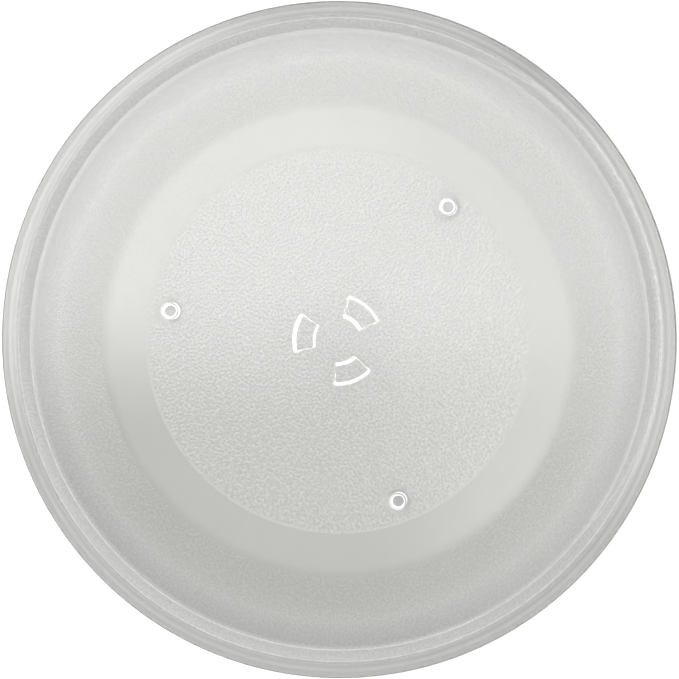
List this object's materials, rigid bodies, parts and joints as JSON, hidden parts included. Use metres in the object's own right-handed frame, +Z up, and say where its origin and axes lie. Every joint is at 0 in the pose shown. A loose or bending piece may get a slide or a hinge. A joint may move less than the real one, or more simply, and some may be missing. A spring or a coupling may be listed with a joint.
{
  "type": "microwave turntable plate",
  "caption": "Round pressed-glass turntable plate with a turned-up rim, a smooth roller track, drive lugs round the hub and tapered feet underneath.",
  "frame": {"origin": "on the plate's axis, in the plane its feet stand on", "axes": "+Z up along the plate's axis, +X through the first drive lug and the first foot"},
  "size_m": [0.3587, 0.3588, 0.0211],
  "materials": {
    "clear_glass": "clear, smooth on top and on the roller track, fine stipple on the rest of the underside"
  },
  "bodies": {
    "root": {"glass_plate": "clear_glass"}
  },
  "joints": []
}
